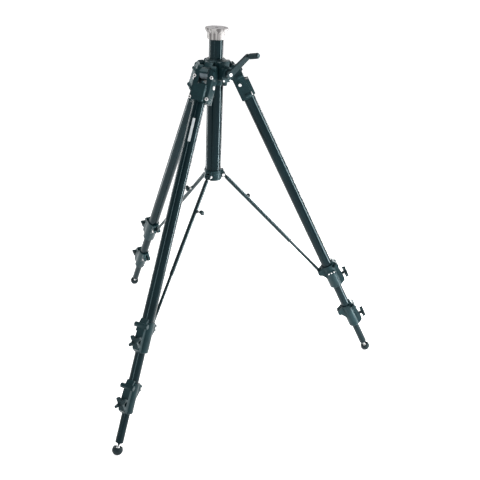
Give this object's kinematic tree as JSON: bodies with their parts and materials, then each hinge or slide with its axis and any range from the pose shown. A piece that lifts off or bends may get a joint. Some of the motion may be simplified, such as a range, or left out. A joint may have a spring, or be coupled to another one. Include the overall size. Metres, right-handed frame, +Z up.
{
  "type": "geared column tripod",
  "caption": "Camera tripod with telescopic legs, braces between legs and column, a geared centre column with a crank, and a flat plate on top for a head.",
  "frame": {"origin": "on the floor, on the axis of the centre column", "axes": "+Z up along the centre column; one leg points to -Y and the others lie 120 degrees apart"},
  "size_m": [0.8444, 0.7349, 0.929],
  "materials": {
    "tube": "satin black anodised",
    "casting": "fine textured dark paint",
    "black_metal": "satin black",
    "steel": "bright zinc",
    "plate": "turned, satin",
    "bush": "pale grey nylon",
    "rubber": "matte",
    "knob": "matte black"
  },
  "bodies": {
    "root": {"apex": "casting", "column_bush": "casting", "column_sleeve": "tube", "brace_hub": "casting", "hinge_bushes": "bush", "frame_fasteners": "steel", "gear_housing": "casting"},
    "column": {"center_column": "tube", "column_rack": "steel", "head_plate": "plate", "head_set_screws": "steel"},
    "crank": {"crank_shaft": "steel", "crank_arm": "black_metal"},
    "grip": {"crank_grip": "knob"},
    "friction_knob": {"friction_knob": "knob"},
    "leg_1": {"leg_1_top_casting": "casting", "leg_1_top_cover": "casting", "leg_1_fasteners": "steel", "leg_1_upper_tube": "tube", "leg_1_upper_collar": "casting"},
    "leg_1_middle": {"leg_1_middle_tube": "tube", "leg_1_lower_collar": "casting", "leg_1_lower_bolt": "steel"},
    "leg_1_lower": {"leg_1_lower_tube": "tube", "leg_1_foot": "rubber"},
    "leg_1_upper_screw": {"leg_1_upper_knob": "knob"},
    "leg_1_lower_screw": {"leg_1_lower_knob": "knob"},
    "leg_1_brace": {"leg_1_brace_tube": "black_metal"},
    "leg_1_rod": {"leg_1_brace_rod": "black_metal"},
    "leg_1_lock": {"leg_1_brace_lock": "knob"},
    "leg_2": {"leg_2_top_casting": "casting", "leg_2_top_cover": "casting", "leg_2_fasteners": "steel", "leg_2_upper_tube": "tube", "leg_2_upper_collar": "casting"},
    "leg_2_middle": {"leg_2_middle_tube": "tube", "leg_2_lower_collar": "casting", "leg_2_lower_bolt": "steel"},
    "leg_2_lower": {"leg_2_lower_tube": "tube", "leg_2_foot": "rubber"},
    "leg_2_upper_screw": {"leg_2_upper_knob": "knob"},
    "leg_2_lower_screw": {"leg_2_lower_knob": "knob"},
    "leg_2_brace": {"leg_2_brace_tube": "black_metal"},
    "leg_2_rod": {"leg_2_brace_rod": "black_metal"},
    "leg_2_lock": {"leg_2_brace_lock": "knob"},
    "leg_3": {"leg_3_top_casting": "casting", "leg_3_top_cover": "casting", "leg_3_fasteners": "steel", "leg_3_upper_tube": "tube", "leg_3_upper_collar": "casting"},
    "leg_3_middle": {"leg_3_middle_tube": "tube", "leg_3_lower_collar": "casting", "leg_3_lower_bolt": "steel"},
    "leg_3_lower": {"leg_3_lower_tube": "tube", "leg_3_foot": "rubber"},
    "leg_3_upper_screw": {"leg_3_upper_knob": "knob"},
    "leg_3_lower_screw": {"leg_3_lower_knob": "knob"},
    "leg_3_brace": {"leg_3_brace_tube": "black_metal"},
    "leg_3_rod": {"leg_3_brace_rod": "black_metal"},
    "leg_3_lock": {"leg_3_brace_lock": "knob"}
  },
  "joints": [
    {"name": "column_slide", "type": "slide", "parent": "root", "child": "column", "axis": [0, 0, 1], "range_m": [-0.012, 0.19]},
    {"name": "crank_turn", "type": "hinge", "parent": "root", "child": "crank", "pos_m": [0.05196, -0.03, 0.83], "axis": [0.866, -0.5, 0], "range_deg": [-114.7, 1814.5]},
    {"name": "column_friction", "type": "hinge", "parent": "root", "child": "friction_knob", "pos_m": [0.03464, -0.02, 0.805], "axis": [0, 0, -1], "range_deg": [-90, 270]},
    {"name": "grip_spin", "type": "hinge", "parent": "crank", "child": "grip", "pos_m": [0.10017, -0.00438, 0.87455], "axis": [0.935, -0.2827, 0.2143], "continuous": true},
    {"name": "leg_1_fold", "type": "hinge", "parent": "root", "child": "leg_1", "pos_m": [0, -0.0511, 0.82853], "axis": [1, 0, 0], "range_deg": [0, 27.33]},
    {"name": "leg_1_middle_slide", "type": "slide", "parent": "leg_1", "child": "leg_1_middle", "axis": [0, -0.4591, -0.8884], "range_m": [-0.066, 0.36]},
    {"name": "leg_1_lower_slide", "type": "slide", "parent": "leg_1_middle", "child": "leg_1_lower", "axis": [0, -0.4591, -0.8884], "range_m": [-0.06, 0.36]},
    {"name": "leg_1_upper_clamp", "type": "hinge", "parent": "leg_1", "child": "leg_1_upper_screw", "pos_m": [0, -0.37631, 0.26459], "axis": [0, -0.8884, 0.4591], "range_deg": [-180, 90]},
    {"name": "leg_1_lower_clamp", "type": "hinge", "parent": "leg_1_middle", "child": "leg_1_lower_screw", "pos_m": [0, -0.44299, 0.13122], "axis": [0, -0.8884, 0.4591], "range_deg": [-180, 90]},
    {"name": "leg_1_brace_turn", "type": "hinge", "parent": "root", "child": "leg_1_brace", "pos_m": [0, -0.027, 0.5605], "axis": [1, 0, 0], "range_deg": [-0.05, 44.56]},
    {"name": "leg_1_rod_slide", "type": "slide", "parent": "leg_1_brace", "child": "leg_1_rod", "axis": [0, -0.6971, -0.717], "range_m": [-0.05864, 0.0001]},
    {"name": "leg_1_brace_clamp", "type": "hinge", "parent": "leg_1_brace", "child": "leg_1_lock", "pos_m": [0, -0.09532, 0.49024], "axis": [1, 0, 0], "range_deg": [-180, 90]},
    {"name": "leg_2_fold", "type": "hinge", "parent": "root", "child": "leg_2", "pos_m": [0.04425, 0.02555, 0.82853], "axis": [-0.5, 0.866, 0], "range_deg": [0, 27.33]},
    {"name": "leg_2_middle_slide", "type": "slide", "parent": "leg_2", "child": "leg_2_middle", "axis": [0.3976, 0.2296, -0.8884], "range_m": [-0.066, 0.36]},
    {"name": "leg_2_lower_slide", "type": "slide", "parent": "leg_2_middle", "child": "leg_2_lower", "axis": [0.3976, 0.2296, -0.8884], "range_m": [-0.06, 0.36]},
    {"name": "leg_2_upper_clamp", "type": "hinge", "parent": "leg_2", "child": "leg_2_upper_screw", "pos_m": [0.3259, 0.18816, 0.26459], "axis": [0.7694, 0.4442, 0.4591], "range_deg": [-180, 90]},
    {"name": "leg_2_lower_clamp", "type": "hinge", "parent": "leg_2_middle", "child": "leg_2_lower_screw", "pos_m": [0.38364, 0.22149, 0.13122], "axis": [0.7694, 0.4442, 0.4591], "range_deg": [-180, 90]},
    {"name": "leg_2_brace_turn", "type": "hinge", "parent": "root", "child": "leg_2_brace", "pos_m": [0.02338, 0.0135, 0.5605], "axis": [-0.5, 0.866, 0], "range_deg": [-0.05, 44.56]},
    {"name": "leg_2_rod_slide", "type": "slide", "parent": "leg_2_brace", "child": "leg_2_rod", "axis": [0.6037, 0.3486, -0.717], "range_m": [-0.05864, 0.0001]},
    {"name": "leg_2_brace_clamp", "type": "hinge", "parent": "leg_2_brace", "child": "leg_2_lock", "pos_m": [0.08255, 0.04766, 0.49024], "axis": [-0.5, 0.866, 0], "range_deg": [-180, 90]},
    {"name": "leg_3_fold", "type": "hinge", "parent": "root", "child": "leg_3", "pos_m": [-0.04425, 0.02555, 0.82853], "axis": [-0.5, -0.866, 0], "range_deg": [0, 27.33]},
    {"name": "leg_3_middle_slide", "type": "slide", "parent": "leg_3", "child": "leg_3_middle", "axis": [-0.3976, 0.2296, -0.8884], "range_m": [-0.066, 0.36]},
    {"name": "leg_3_lower_slide", "type": "slide", "parent": "leg_3_middle", "child": "leg_3_lower", "axis": [-0.3976, 0.2296, -0.8884], "range_m": [-0.06, 0.36]},
    {"name": "leg_3_upper_clamp", "type": "hinge", "parent": "leg_3", "child": "leg_3_upper_screw", "pos_m": [-0.3259, 0.18816, 0.26459], "axis": [-0.7694, 0.4442, 0.4591], "range_deg": [-180, 90]},
    {"name": "leg_3_lower_clamp", "type": "hinge", "parent": "leg_3_middle", "child": "leg_3_lower_screw", "pos_m": [-0.38364, 0.22149, 0.13122], "axis": [-0.7694, 0.4442, 0.4591], "range_deg": [-180, 90]},
    {"name": "leg_3_brace_turn", "type": "hinge", "parent": "root", "child": "leg_3_brace", "pos_m": [-0.02338, 0.0135, 0.5605], "axis": [-0.5, -0.866, 0], "range_deg": [-0.05, 44.56]},
    {"name": "leg_3_rod_slide", "type": "slide", "parent": "leg_3_brace", "child": "leg_3_rod", "axis": [-0.6037, 0.3486, -0.717], "range_m": [-0.05864, 0.0001]},
    {"name": "leg_3_brace_clamp", "type": "hinge", "parent": "leg_3_brace", "child": "leg_3_lock", "pos_m": [-0.08255, 0.04766, 0.49024], "axis": [-0.5, -0.866, 0], "range_deg": [-180, 90]}
  ],
  "couplings": [
    {"joint": "crank_turn", "follows": "column_slide", "rad_per_m": 166.67},
    {"joint": "leg_1_brace_turn", "follows": "leg_1_fold", "ratio": 1.6285},
    {"joint": "leg_1_rod_slide", "follows": "leg_1_fold", "m_per_rad": -0.12273},
    {"joint": "leg_2_brace_turn", "follows": "leg_2_fold", "ratio": 1.6285},
    {"joint": "leg_2_rod_slide", "follows": "leg_2_fold", "m_per_rad": -0.12273},
    {"joint": "leg_3_brace_turn", "follows": "leg_3_fold", "ratio": 1.6285},
    {"joint": "leg_3_rod_slide", "follows": "leg_3_fold", "m_per_rad": -0.12273}
  ]
}
